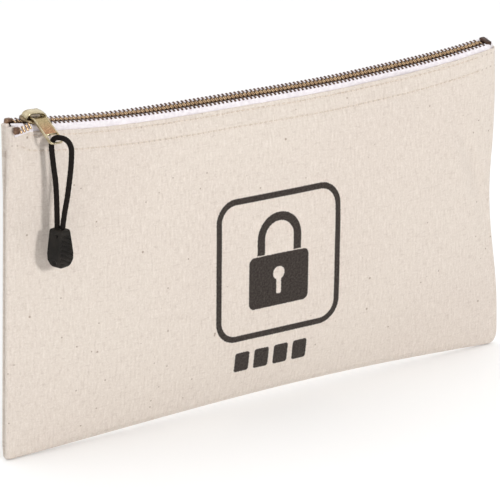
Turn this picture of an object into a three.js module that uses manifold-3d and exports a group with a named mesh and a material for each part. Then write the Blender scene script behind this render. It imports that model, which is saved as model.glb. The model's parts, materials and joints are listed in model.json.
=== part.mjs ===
// Cash deposit bag: a flat canvas pouch with a metal zip across its top, a brass slider and a corded pull.
// Millimetres. +X runs along the zip from its closed end to its open end, -Y is the front, +Z is up.
// The origin is under the middle of the bag's bounding box, on the surface that the bag stands on.
import * as THREE from 'three';
import { ConvexGeometry } from 'three/addons/geometries/ConvexGeometry.js';
import { mergeVertices } from 'three/addons/utils/BufferGeometryUtils.js';
import Module from 'manifold-3d';

const wasm = await Module();
wasm.setup();

// --- Driving dimensions ---

const SEAM_Y = 6; // the plane where the panels meet, off the origin because the pull stands forward
const HALF_WIDTH_TOP = 156; // half of the bag's length at the mouth
const HALF_WIDTH_BOTTOM = 161; // half of the bag's length at the bottom fold
const ZIP_HEIGHT = 178; // height of the zip's centreline at the two corners
const ZIP_SAG = 8.8; // how far the zip hangs below the corners in the middle, as a shallow arc
const BOTTOM_ARCH = 4.6; // how far the bottom fold lifts between the corners
const RIGHT_PULL_IN = 5.5; // how far the right edge is drawn in at mid-height
const CANVAS = 1.2; // thickness of a canvas panel with its nap
const SEAM_GAP = 0.3; // clearance between the panels where they are sewn together
const FRONT_BULGE = 10.3;
const BACK_BULGE = 13;
const BACK_PLATEAU = 12.6; // the back panel is pressed flat at this distance from the seam plane
const MOUTH_HALF = 7; // half thickness of the mouth, outside the canvas
const HEM_DROP = 3.9; // the canvas hem's folded edge is this far below the zip's centreline

const TOOTH_PITCH = 2.53;
const TOOTH_WIDTH = 1.05;
const TOOTH_HEIGHT = 2;
const CHAIN_HALF = 2.9; // half width of the closed chain
const TOOTH_TIP = 0.8; // how far a tooth reaches past the centreline into the other row
const CHAIN_ROLL = 12; // degrees that the chain leans forward about its own line
const TAPE = 0.5;
const TAPE_TURN = 1.2; // radius of the tape's bend down into the bag
const TAPE_DEPTH = 15; // how far the tape hangs down behind the canvas hem
const ROW_START = -148;
const ROW_END = 147;
const POST_CLEAR_X = -141.5; // left of this the teeth stop short of the slider's post
const POST_CLEAR_TIP = 1.05;

const SLIDER_X = -139.5; // the slider's middle, with the bag closed
const SLIDER_LENGTH = 15;
const SLIDER_HALF = 4.6;
const WING_LOW = 1.35; // a wing's inner face, from the chain's middle plane
const WING_HIGH = 2.35; // and its outer face
const BAIL_RISE = 2.6; // the bail strap's middle above the top wing
const BAIL_HALF_WIDTH = 1.1;
const BAIL_THICKNESS = 1;

const TAB_LENGTH = 21.2; // from the tab's eye to the middle of its end bar
const TAB_WIDTH = 9;
const TAB_THICKNESS = 1.2;
const TAB_SLOPE = 23; // degrees below the slider's top
const TAB_YAW = 10; // degrees from straight forward towards the zip's open end

const CORD_RADIUS = 1.35;
const LOOP_YAW = 25; // degrees that the loop's plane is turned from straight forward
const GRIP_TOP = -44.4; // the grip's top below the tab's end bar
const GRIP_HEIGHT = 19.6;
const GRIP_YAW = 14;

const THREAD_RADIUS = 0.35;
const THREAD_STANDOFF = 1.1; // from a panel to the middle of the thread laid on it

// --- Small helpers ---

const radians = THREE.MathUtils.degToRad;
const clamp = THREE.MathUtils.clamp;
const lerp = THREE.MathUtils.lerp;
const smooth = (v) => THREE.MathUtils.smoothstep(v, 0, 1);

function material(color, roughness, metalness) {
  return new THREE.MeshStandardMaterial({ color, roughness, metalness });
}

const canvas = material('#e3d8cb', 0.95, 0);
const tapeCloth = material('#eeeaf0', 0.9, 0);
const brass = material('#c9a35c', 0.35, 1);
const toothBrass = material('#8a6446', 0.4, 1);
const darkMetal = material('#4a332b', 0.5, 0.8);
const blackCord = material('#262320', 0.75, 0);
const blackPlastic = material('#2a2826', 0.55, 0);
const thread = material('#efe6da', 0.9, 0);

const part = new THREE.Group();

function addPart(name, geometry, partMaterial, parent = part) {
  const mesh = new THREE.Mesh(geometry, partMaterial);
  mesh.name = name;
  parent.add(mesh);
  return mesh;
}

// A closed body between two grids of points that share their rims. surface(layer, s, t) gives a point.
function shellGeometry(surface, columns, rows) {
  const positions = [];
  for (const layer of [0, 1]) {
    for (let j = 0; j < rows.length; j++) {
      for (let i = 0; i < columns.length; i++) positions.push(...surface(layer, columns[i], rows[j]));
    }
  }
  const across = columns.length;
  const layerSize = across * rows.length;
  const at = (layer, i, j) => layer * layerSize + j * across + i;
  const faces = [];
  const quad = (a, b, c, d) => faces.push(a, b, c, a, c, d);
  for (let j = 0; j + 1 < rows.length; j++) {
    for (let i = 0; i + 1 < across; i++) {
      quad(at(0, i, j), at(0, i + 1, j), at(0, i + 1, j + 1), at(0, i, j + 1));
      quad(at(1, i, j), at(1, i, j + 1), at(1, i + 1, j + 1), at(1, i + 1, j));
    }
    quad(at(0, 0, j), at(0, 0, j + 1), at(1, 0, j + 1), at(1, 0, j));
    quad(at(0, across - 1, j), at(1, across - 1, j), at(1, across - 1, j + 1), at(0, across - 1, j + 1));
  }
  const last = rows.length - 1;
  for (let i = 0; i + 1 < across; i++) {
    quad(at(0, i, 0), at(1, i, 0), at(1, i + 1, 0), at(0, i + 1, 0));
    quad(at(0, i, last), at(0, i + 1, last), at(1, i + 1, last), at(1, i, last));
  }
  const geometry = new THREE.BufferGeometry();
  geometry.setAttribute('position', new THREE.Float32BufferAttribute(positions, 3));
  geometry.setIndex(faces);
  return geometry;
}

// Turns a closed mesh inside out, which a mirrored grid needs.
function flipped(geometry) {
  const index = geometry.getIndex();
  for (let i = 0; i < index.count; i += 3) {
    const second = index.getX(i + 1);
    index.setX(i + 1, index.getX(i + 2));
    index.setX(i + 2, second);
  }
  return geometry;
}

function toSolid(geometry) {
  const bare = geometry.clone();
  bare.deleteAttribute('normal');
  bare.deleteAttribute('uv');
  const merged = mergeVertices(bare, 1e-4);
  const mesh = new wasm.Mesh({
    numProp: 3,
    vertProperties: new Float32Array(merged.getAttribute('position').array),
    triVerts: new Uint32Array(merged.getIndex().array),
  });
  return new wasm.Manifold(mesh);
}

function fromSolid(solid) {
  const mesh = solid.getMesh();
  const geometry = new THREE.BufferGeometry();
  geometry.setAttribute('position', new THREE.BufferAttribute(mesh.vertProperties, 3));
  geometry.setIndex(new THREE.BufferAttribute(mesh.triVerts, 1));
  return geometry;
}

function united(geometries) {
  const solids = geometries.map(toSolid);
  return fromSolid(solids.reduce((sum, solid) => sum.add(solid)));
}

function box(x0, x1, y0, y1, z0, z1) {
  const geometry = new THREE.BoxGeometry(x1 - x0, y1 - y0, z1 - z0);
  return geometry.translate((x0 + x1) / 2, (y0 + y1) / 2, (z0 + z1) / 2);
}

function roundSection(radius, sides) {
  const points = [];
  for (let i = 0; i < sides; i++) {
    const turn = (2 * Math.PI * i) / sides;
    points.push(new THREE.Vector2(radius * Math.cos(turn), radius * Math.sin(turn)));
  }
  return new THREE.Shape(points);
}

function tubeGeometry(points, radius, sides, steps) {
  const extrudePath = new THREE.CatmullRomCurve3(points, false, 'centripetal');
  return new THREE.ExtrudeGeometry(roundSection(radius, sides), { steps, extrudePath });
}

// The zip hangs as an arc, and the slider travels round the arc's centre.
const ARC_RADIUS = (HALF_WIDTH_TOP ** 2 + ZIP_SAG ** 2) / (2 * ZIP_SAG);
const ARC_CENTRE_Z = ZIP_HEIGHT - ZIP_SAG + ARC_RADIUS;

// --- The bag's shape: s runs 0 to 1 along the bag, t runs 0 to 1 from the bottom fold to the hem ---

const halfWidth = (t) => lerp(HALF_WIDTH_BOTTOM, HALF_WIDTH_TOP, t);
const dent = (t) => 0.5 - 0.5 * Math.cos(2 * Math.PI * clamp((t - 0.12) / 0.8, 0, 1));
const leftEdge = (t) => -halfWidth(t);
const rightEdge = (t) => halfWidth(t) - RIGHT_PULL_IN * dent(t);
const bottomHeight = (s) => BOTTOM_ARCH * Math.sin(Math.PI * s ** 1.25);
const zipHeightAt = (x) => ARC_CENTRE_Z - Math.sqrt(ARC_RADIUS ** 2 - x ** 2);
const zipHeight = (s) => zipHeightAt(lerp(-HALF_WIDTH_TOP, HALF_WIDTH_TOP, s));
const roll = radians(CHAIN_ROLL);

// A point beside the zip's centreline: before the roll, across is towards the back and up out of the bag.
function besideZip(x, across, up) {
  const y = across * Math.cos(roll) - up * Math.sin(roll);
  const z = across * Math.sin(roll) + up * Math.cos(roll);
  return [x, SEAM_Y + y, zipHeightAt(x) + z];
}

function halfDepth(s, t, bulge) {
  const lengthwise = 1 - Math.abs(2 * s - 1) ** 4;
  const upward = 1 - Math.abs(2 * t - 1) ** 3;
  const seam = SEAM_GAP / 2 + CANVAS;
  const edge = lerp(seam, MOUTH_HALF, smooth((t - 0.8) / 0.2));
  return edge + bulge * lengthwise * upward;
}

function panelPoint(side, s, t, inward) {
  const plateau = side > 0 ? BACK_PLATEAU : Infinity;
  const depth = Math.min(halfDepth(s, t, side > 0 ? BACK_BULGE : FRONT_BULGE), plateau);
  const x = lerp(leftEdge(t), rightEdge(t), s);
  const z = lerp(bottomHeight(s), zipHeight(s) - HEM_DROP, t);
  return [x, SEAM_Y + side * (depth - inward), z];
}

const LEFT_COLUMNS = [0, 0.018, 0.04, 0.075, 0.125, 0.19, 0.27, 0.36, 0.45];
const COLUMNS = [...LEFT_COLUMNS, ...LEFT_COLUMNS.map((s) => 1 - s).reverse()];
const ROWS = [0, 0.03, 0.08, 0.16, 0.26, 0.38, 0.5, 0.62, 0.73, 0.81, 0.88, 0.94, 1];

function panel(side) {
  const surface = (layer, s, t) => panelPoint(side, s, t, layer * CANVAS);
  const geometry = shellGeometry(surface, COLUMNS, ROWS);
  return side > 0 ? flipped(geometry) : geometry;
}

addPart('front_panel', panel(-1), canvas);
addPart('back_panel', panel(1), canvas);

// --- Zip: tapes, teeth and stops ---

// A tape lies flat beside the teeth, then turns down behind the canvas hem.
// t runs from the teeth to its lower edge: flat to TAPE_FLAT, bending to TAPE_BENT, then straight down.
const TAPE_FLAT = 0.1;
const TAPE_BENT = 0.3;
const TAPE_ROWS = [0, TAPE_FLAT, 0.15, 0.2, 0.25, TAPE_BENT, 0.6, 1];
const TAPE_SPAN = 0.985; // the tape's length as a share of the mouth

function tapePoint(side, s, t, layer) {
  const x = lerp(-HALF_WIDTH_TOP, HALF_WIDTH_TOP, s) * TAPE_SPAN;
  const startAngle = -side * roll;
  const inner = CHAIN_HALF + SEAM_GAP;
  const outer = MOUTH_HALF - CANVAS - SEAM_GAP - TAPE / 2;
  const bendStart = (outer - TAPE_TURN * (1 - Math.sin(startAngle))) / Math.cos(roll);
  const depth = lerp(2, TAPE_DEPTH, smooth(Math.min(s, 1 - s) / 0.06));
  const flat = lerp(inner, bendStart, Math.min(t / TAPE_FLAT, 1));
  const angle = lerp(startAngle, Math.PI / 2, clamp((t - TAPE_FLAT) / (TAPE_BENT - TAPE_FLAT), 0, 1));
  const hang = (depth * Math.max(t - TAPE_BENT, 0)) / (1 - TAPE_BENT);
  const bendOut = TAPE_TURN * (Math.sin(angle) - Math.sin(startAngle));
  const bendDown = TAPE_TURN * (Math.cos(startAngle) - Math.cos(angle));
  const lift = TAPE / 2 - layer * TAPE;
  const across = flat * Math.cos(roll) + bendOut + lift * Math.sin(angle);
  const drop = flat * Math.sin(startAngle) + bendDown + hang - lift * Math.cos(angle);
  return [x, SEAM_Y + side * across, zipHeightAt(x) - drop];
}

function tape(side) {
  const surface = (layer, s, t) => tapePoint(side, s, t, layer);
  const geometry = shellGeometry(surface, COLUMNS, TAPE_ROWS);
  return side > 0 ? geometry : flipped(geometry);
}

// One row of teeth on its bead cord: a comb, made cell by cell so that it follows the sagging zip.
function teeth(side) {
  const positions = [];
  const corner = (x, y, up) => besideZip(x, side * y, (up * TOOTH_HEIGHT) / 2);
  function face(a, b, c, d) {
    const order = side > 0 ? [a, b, c, a, c, d] : [a, c, b, a, d, c];
    for (const point of order) positions.push(...corner(...point));
  }
  function levelFaces(x0, x1, inner, outer) {
    face([x0, inner, 1], [x1, inner, 1], [x1, outer, 1], [x0, outer, 1]);
    face([x0, inner, -1], [x0, outer, -1], [x1, outer, -1], [x1, inner, -1]);
  }
  const outward = (x0, x1, y) => face([x0, y, -1], [x0, y, 1], [x1, y, 1], [x1, y, -1]);
  const inward = (x0, x1, y) => face([x0, y, -1], [x1, y, -1], [x1, y, 1], [x0, y, 1]);
  function startCap(x0, inner, outer) {
    face([x0, inner, -1], [x0, inner, 1], [x0, outer, 1], [x0, outer, -1]);
  }
  function endCap(x1, inner, outer) {
    face([x1, inner, -1], [x1, outer, -1], [x1, outer, 1], [x1, inner, 1]);
  }

  const root = CHAIN_HALF - 1;
  function cord(x0, x1) {
    levelFaces(x0, x1, root, CHAIN_HALF);
    outward(x0, x1, CHAIN_HALF);
  }
  let x = ROW_START;
  startCap(x, root, CHAIN_HALF);
  const first = ROW_START + 0.8 + (side > 0 ? TOOTH_PITCH / 2 : 0);
  for (let start = first; start + 2 * TOOTH_WIDTH < ROW_END; start += TOOTH_PITCH) {
    const end = start + TOOTH_WIDTH;
    const tip = start < POST_CLEAR_X ? POST_CLEAR_TIP : -TOOTH_TIP;
    cord(x, start);
    inward(x, start, root);
    cord(start, end);
    levelFaces(start, end, tip, root);
    startCap(start, tip, root);
    inward(start, end, tip);
    endCap(end, tip, root);
    x = end;
  }
  cord(x, ROW_END);
  inward(x, ROW_END, root);
  endCap(ROW_END, root, CHAIN_HALF);
  const geometry = new THREE.BufferGeometry();
  geometry.setAttribute('position', new THREE.Float32BufferAttribute(positions, 3));
  return geometry;
}

for (const [name, side] of [['front', -1], ['back', 1]]) {
  addPart(`${name}_zip_tape`, tape(side), tapeCloth);
  addPart(`${name}_teeth`, teeth(side), toothBrass);
  const topStop = addPart(`${name}_top_stop`, new THREE.BoxGeometry(3.1, 2.2, 2.8), toothBrass);
  topStop.position.set(...besideZip(ROW_START - 1.85, side * 1.8, 0));
  topStop.rotation.x = roll;
}

const bottomStop = addPart('bottom_stop', new THREE.BoxGeometry(3.8, 6, 3), darkMetal);
bottomStop.position.set(...besideZip(ROW_END + 2.2, 0, 0));
bottomStop.rotation.x = roll;

// --- Slider: two wings joined by a post, with flanges that wrap the teeth, and a bail on top ---

function wingOutline() {
  const end = SLIDER_LENGTH / 2;
  const points = [[-end, 2.6], [-end + 2, SLIDER_HALF], [end - 4, SLIDER_HALF - 0.3], [end, 3.2]];
  const mirrored = points.map(([x, y]) => [x, -y]).reverse();
  return new THREE.Shape([...points, ...mirrored].map(([x, y]) => new THREE.Vector2(x, y)));
}

function wing(z) {
  const depth = WING_HIGH - WING_LOW;
  return new THREE.ExtrudeGeometry(wingOutline(), { depth, bevelEnabled: false }).translate(0, 0, z);
}

function sliderBody() {
  const end = SLIDER_LENGTH / 2;
  const overlap = 0.2;
  const pieces = [wing(WING_LOW), wing(-WING_HIGH)];
  pieces.push(box(-end + 0.6, -end + 2.4, -0.7, 0.7, -WING_LOW - overlap, WING_LOW + overlap));
  for (const side of [-1, 1]) {
    const inner = side * (CHAIN_HALF + 0.4);
    const outer = side * (SLIDER_HALF - 0.3);
    const [low, high] = [Math.min(inner, outer), Math.max(inner, outer)];
    pieces.push(box(-end + 2.2, end - 4, low, high, 0.6, WING_LOW + overlap));
    pieces.push(box(-end + 2.2, end - 4, low, high, -WING_LOW - overlap, -0.6));
  }
  return united(pieces);
}

// The bail is a low arch of strap along the slider. The tab's eye turns round the level part of it.
function bail() {
  const foot = 6.2;
  const rise = BAIL_RISE + BAIL_THICKNESS / 2;
  const outer = new THREE.Shape();
  outer.moveTo(-foot, 0);
  outer.bezierCurveTo(-foot, rise * 0.9, -foot + 1.4, rise, -foot + 3.4, rise);
  outer.lineTo(foot - 3.4, rise);
  outer.bezierCurveTo(foot - 1.4, rise, foot, rise * 0.9, foot, 0);
  outer.lineTo(foot - 1.3, 0);
  const under = rise - BAIL_THICKNESS;
  outer.bezierCurveTo(foot - 1.3, under * 0.9, foot - 2, under, foot - 3.4, under);
  outer.lineTo(-foot + 3.4, under);
  outer.bezierCurveTo(-foot + 2, under, -foot + 1.3, under * 0.9, -foot + 1.3, 0);
  const options = { depth: 2 * BAIL_HALF_WIDTH, bevelEnabled: false, curveSegments: 4 };
  const geometry = new THREE.ExtrudeGeometry(outer, options);
  return geometry.rotateX(Math.PI / 2).translate(0, BAIL_HALF_WIDTH, 0);
}

const slider = new THREE.Group();
slider.position.set(SLIDER_X, SEAM_Y, zipHeightAt(SLIDER_X));
slider.rotation.set(roll, -Math.asin(SLIDER_X / ARC_RADIUS), 0, 'YXZ');
slider.updateMatrixWorld();
part.add(slider);
addPart('slider_body', sliderBody(), brass, slider);
addPart('slider_bail', bail(), brass, slider).position.z = WING_HIGH + SEAM_GAP;

// --- Pull: tab, cord loop and moulded grip ---

function tabOutline() {
  const half = TAB_WIDTH / 2;
  const end = TAB_LENGTH + 1;
  const shape = new THREE.Shape();
  shape.moveTo(1.6, -1.6);
  shape.lineTo(3.4, -half + 0.5);
  shape.lineTo(end - 2, -half);
  shape.quadraticCurveTo(end, -half, end, -half + 2);
  shape.lineTo(end, half - 2);
  shape.quadraticCurveTo(end, half, end - 2, half);
  shape.lineTo(3.4, half - 0.5);
  shape.lineTo(1.6, 1.6);
  const holeEnd = TAB_LENGTH - 0.9;
  const hole = [[holeEnd - 4.8, -2.8], [holeEnd - 4.8, 2.8], [holeEnd, 2.8], [holeEnd, -2.8]];
  shape.holes.push(new THREE.Path(hole.map(([x, y]) => new THREE.Vector2(x, y))));
  return shape;
}

// The tab lies along +X here with its eye round the X = 0 line, and is turned into place below.
function tabGeometry() {
  const options = { depth: TAB_THICKNESS, bevelEnabled: false, curveSegments: 3 };
  const plate = new THREE.ExtrudeGeometry(tabOutline(), options);
  const eye = roundSection(2.25, 16);
  eye.holes.push(new THREE.Path(roundSection(1.55, 12).getPoints()));
  const knuckle = new THREE.ExtrudeGeometry(eye, { depth: 3, bevelEnabled: false });
  knuckle.rotateX(Math.PI / 2).translate(0, 1.5, 0);
  return united([plate.translate(0, 0, -TAB_THICKNESS / 2), knuckle]);
}

const slope = radians(TAB_SLOPE);
const yaw = radians(TAB_YAW);
const tab = addPart('pull_tab', tabGeometry(), brass, slider);
tab.position.z = WING_HIGH + SEAM_GAP + BAIL_RISE;
tab.rotation.set(0, slope, yaw - Math.PI / 2, 'ZYX');
tab.updateMatrixWorld();
const barCentre = tab.localToWorld(new THREE.Vector3(TAB_LENGTH, 0, 0));

// The cord's route, as [forward in the loop's plane, up], measured from the middle of the tab's end bar.
const CORD_ROUTE = [
  [-0.8, -44.1], [-0.8, -36], [-0.9, -28], [-1.3, -20], [-2.5, -11], [-3.2, -5], [-3.3, -1.2],
  [-2.7, 0.6], [-0.9, 2.4], [2.0, 2.9], [5.0, 2.5], [7.3, 0.8], [8.4, -1.9],
  [8.4, -6], [7.9, -12], [6.9, -19], [5.6, -27], [3.9, -35], [2.3, -44.1],
];
const loopYaw = radians(LOOP_YAW);

function inLoop([forward, up]) {
  return new THREE.Vector3(forward * Math.sin(loopYaw), -forward * Math.cos(loopYaw), up).add(barCentre);
}

addPart('pull_cord', tubeGeometry(CORD_ROUTE.map(inLoop), CORD_RADIUS, 8, 52), blackCord);

// The grip is a block that widens downwards, with a cut-back foot.
function gripGeometry() {
  const levels = [
    [0, 2.6, 3.6],
    [-1.2, 3.1, 4.4],
    [-12.5, 4.9, 4.7],
    [-17, 4.6, 4.6],
    [-GRIP_HEIGHT, 3, 3.4],
  ];
  const points = [];
  for (const [z, halfX, halfY] of levels) {
    const cut = 0.7;
    for (const [x, y] of [[halfX, halfY - cut], [halfX - cut, halfY]]) {
      for (const signX of [-1, 1]) {
        for (const signY of [-1, 1]) points.push(new THREE.Vector3(signX * x, signY * y, z));
      }
    }
  }
  return new ConvexGeometry(points);
}

const grip = addPart('cord_grip', gripGeometry(), blackPlastic);
grip.position.copy(inLoop([0.75, GRIP_TOP]));
grip.rotation.z = radians(GRIP_YAW);

// --- Stitching ---

// A run of thread laid on a panel, drop millimetres below the hem's folded edge.
function hemStitching(side, drop) {
  const points = [];
  for (let s = 0.02; s < 0.985; s += 0.04) {
    const t = 1 - drop / (zipHeight(s) - HEM_DROP - bottomHeight(s));
    const [x, y, z] = panelPoint(side, s, t, 0);
    points.push(new THREE.Vector3(x, y + side * THREAD_STANDOFF, z));
  }
  return tubeGeometry(points, THREAD_RADIUS, 6, 40);
}

for (const [name, side] of [['front', -1], ['back', 1]]) {
  addPart(`${name}_upper_stitching`, hemStitching(side, 2), thread);
  addPart(`${name}_lower_stitching`, hemStitching(side, 9.5), thread);
}

// The seams that join the panels run just inside the bag, SEAM_INSET from its edges.
const SEAM_INSET = 3;

function sideSeam(edge, sign) {
  const points = [];
  for (let t = 0.16; t < 0.83; t += 0.08) {
    const height = zipHeight(0) - HEM_DROP;
    points.push(new THREE.Vector3(edge(t) + sign * SEAM_INSET, SEAM_Y, t * height));
  }
  return tubeGeometry(points, THREAD_RADIUS, 6, 16);
}

function bottomSeam() {
  const points = [];
  for (let s = 0.08; s < 0.93; s += 0.06) {
    const x = lerp(leftEdge(0), rightEdge(0), s);
    points.push(new THREE.Vector3(x, SEAM_Y, bottomHeight(s) + SEAM_INSET + 1));
  }
  return tubeGeometry(points, THREAD_RADIUS, 6, 28);
}

addPart('left_seam_thread', sideSeam(leftEdge, 1), thread);
addPart('right_seam_thread', sideSeam(rightEdge, -1), thread);
addPart('bottom_seam_thread', bottomSeam(), thread);

export default part;
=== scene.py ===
"""Cash deposit bag: canvas shells, zip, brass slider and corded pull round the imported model.

Lengths are millimetres in the model's frame until a mesh is made, and metres from then on.
"""

import json
import math

import bmesh
import bpy
from mathutils import Matrix, Vector, noise


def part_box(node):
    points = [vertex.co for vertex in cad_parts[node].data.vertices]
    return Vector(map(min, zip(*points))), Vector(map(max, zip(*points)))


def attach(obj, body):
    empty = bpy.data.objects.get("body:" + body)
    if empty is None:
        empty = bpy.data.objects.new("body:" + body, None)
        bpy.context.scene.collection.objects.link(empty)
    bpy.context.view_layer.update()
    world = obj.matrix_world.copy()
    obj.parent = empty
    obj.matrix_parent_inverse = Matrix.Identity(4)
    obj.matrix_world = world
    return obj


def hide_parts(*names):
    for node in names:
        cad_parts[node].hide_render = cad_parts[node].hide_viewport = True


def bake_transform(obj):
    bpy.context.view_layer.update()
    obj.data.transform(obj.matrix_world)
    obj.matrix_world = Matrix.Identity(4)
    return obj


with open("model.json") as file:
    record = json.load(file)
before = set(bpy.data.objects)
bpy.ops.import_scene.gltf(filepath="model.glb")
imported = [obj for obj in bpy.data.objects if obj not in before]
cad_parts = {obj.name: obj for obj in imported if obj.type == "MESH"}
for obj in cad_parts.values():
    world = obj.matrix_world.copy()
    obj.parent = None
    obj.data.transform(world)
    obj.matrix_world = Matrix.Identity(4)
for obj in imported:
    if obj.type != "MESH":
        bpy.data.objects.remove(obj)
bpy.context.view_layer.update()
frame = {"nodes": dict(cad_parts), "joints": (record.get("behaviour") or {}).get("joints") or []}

MM = 0.001


# --- Places taken from the frame ---


def box_mm(node):
    low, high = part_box(node)
    return Vector(low) / MM, Vector(high) / MM


def joint_point(name):
    joint = next(j for j in frame["joints"] if j["name"] == name)
    return Vector(joint["pos_m"]) / MM


front_high = box_mm("front_panel")[1]
teeth_low, teeth_high = box_mm("front_teeth")
grip_low, grip_high = box_mm("cord_grip")
slider_low, slider_high = box_mm("slider_body")

ZIP_PIVOT = joint_point("zip_travel")
SEAM_Y = ZIP_PIVOT.y
BOTTOM_HALF = front_high.x
TOP_HALF = 156
ZIP_SAG = 8.8
ARC_RADIUS = (TOP_HALF ** 2 + ZIP_SAG ** 2) / (2 * ZIP_SAG)
ROW_START = teeth_low.x
ROW_END = teeth_high.x
SLIDER_X = (slider_low.x + slider_high.x) / 2
SLIDER_TILT = math.asin(SLIDER_X / ARC_RADIUS)
TAB_PIVOT = joint_point("tab_swing")
SLIDER_ROLL = math.radians(12)  # the slider and the start of the chain lean forward

# --- Sizes of the bag ---

BOTTOM_ARCH = 4.6
RIGHT_PULL_IN = 5.5
RIGHT_TOP_IN = 3.6
FRONT_BULGE = 9
BACK_BULGE = 11.5
HEM_DROP = 3.8
CANVAS = 0.75
HEM_FOLD = 0.65  # radius of the fold at the hem
HEM_RETURN = 12  # how far the hem's inner layer goes back down
EDGE_ROLL = 1.1  # radius of the turned seam edge at the bottom
EDGE_ROLL_TOP = 2.5
CORNER_LEFT = 3.0
CORNER_RIGHT = 6.0
STITCH_DROPS = (2.2, 9.8)  # the two stitch lines, below the hem's folded edge
STITCH_PITCH = 3.3
STITCH_START = -150
CHAIN_HALF = 3.0
TAPE = 0.45
TAPE_TURN = 1.2
TAPE_START = -153.6
TAPE_END = 151.1


def smooth(value):
    value = min(max(value, 0), 1)
    return value * value * (3 - 2 * value)


def lerp(a, b, share):
    return a + (b - a) * share


# --- Mesh helpers ---


def mesh_piece(name, points, faces, material, *attributes):
    """A smooth mesh from points in millimetres. Each attribute is (name, one vector for each point)."""
    mesh = bpy.data.meshes.new(name)
    mesh.from_pydata([Vector(p) * MM for p in points], [], faces)
    mesh.validate()
    mesh.materials.append(material)
    mesh.polygons.foreach_set("use_smooth", [True] * len(mesh.polygons))
    for attribute, vectors in attributes:
        layer = mesh.attributes.new(attribute, "FLOAT_VECTOR", "POINT")
        layer.data.foreach_set("vector", [c for vector in vectors for c in vector])
    piece = bpy.data.objects.new(name, mesh)
    bpy.context.scene.collection.objects.link(piece)
    return piece


def grid_faces(across, along, flip=False, wrap=False):
    """Quads of a grid whose points run across first. wrap joins the last column to the first."""
    faces = []
    for j in range(along - 1):
        for i in range(across if wrap else across - 1):
            k = (i + 1) % across
            quad = (j * across + i, j * across + k, (j + 1) * across + k, (j + 1) * across + i)
            faces.append(quad[::-1] if flip else quad)
    return faces


def slab_faces(across, along, flip=False):
    """Faces of a closed slab: one grid, a second one whose points follow, and the rim between them."""
    size = across * along
    near = grid_faces(across, along, flip)
    far = [tuple(size + k for k in face[::-1]) for face in near]
    edge = list(range(across)) + [j * across + across - 1 for j in range(1, along)]
    edge += [(along - 1) * across + i for i in reversed(range(across - 1))]
    edge += [j * across for j in reversed(range(1, along - 1))]
    rim = [(b, a, size + a, size + b) for a, b in zip(edge, edge[1:] + edge[:1])]
    return near + far + [quad[::-1] if flip else quad for quad in rim]


def tube(centres, radius, sides):
    """Points and faces of a closed tube along centres. radius may depend on (share of length, turn)."""
    count = len(centres)
    centres = [Vector(c) for c in centres]
    normal = None
    points = []
    for j, centre in enumerate(centres):
        ahead = centres[min(j + 1, count - 1)] - centres[max(j - 1, 0)]
        ahead.normalize()
        if normal is None:
            normal = ahead.orthogonal().normalized()
        normal = (normal - ahead * normal.dot(ahead)).normalized()
        side = ahead.cross(normal)
        for i in range(sides):
            turn = 2 * math.pi * i / sides
            size = radius(j / (count - 1), turn) if callable(radius) else radius
            points.append(centre + size * (normal * math.cos(turn) + side * math.sin(turn)))
    faces = grid_faces(sides, count, wrap=True)
    faces.append(tuple(range(sides))[::-1])
    faces.append(tuple(range((count - 1) * sides, count * sides)))
    return points, faces


def joined(shapes):
    """One list of points and faces from several."""
    points, faces = [], []
    for shape_points, shape_faces in shapes:
        start = len(points)
        points.extend(shape_points)
        faces.extend([tuple(start + i for i in face) for face in shape_faces])
    return points, faces


def apply_modifiers(piece):
    bpy.context.view_layer.update()
    evaluated = piece.evaluated_get(bpy.context.evaluated_depsgraph_get())
    piece.data = bpy.data.meshes.new_from_object(evaluated)
    piece.modifiers.clear()
    return piece


def thicken(piece, thickness):
    """Gives a cloth surface its thickness, inwards from its outer face."""
    modifier = piece.modifiers.new("thickness", "SOLIDIFY")
    modifier.thickness = thickness * MM
    modifier.offset = -1
    return apply_modifiers(piece)


def round_edges(piece, width, segments=3):
    modifier = piece.modifiers.new("edges", "BEVEL")
    modifier.width = width * MM
    modifier.segments = segments
    modifier.limit_method = "ANGLE"
    modifier.angle_limit = math.radians(35)
    return apply_modifiers(piece)


def placed(shape, matrix):
    points, faces = shape
    return [matrix @ Vector(p) for p in points], faces


# --- Node materials ---


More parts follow.
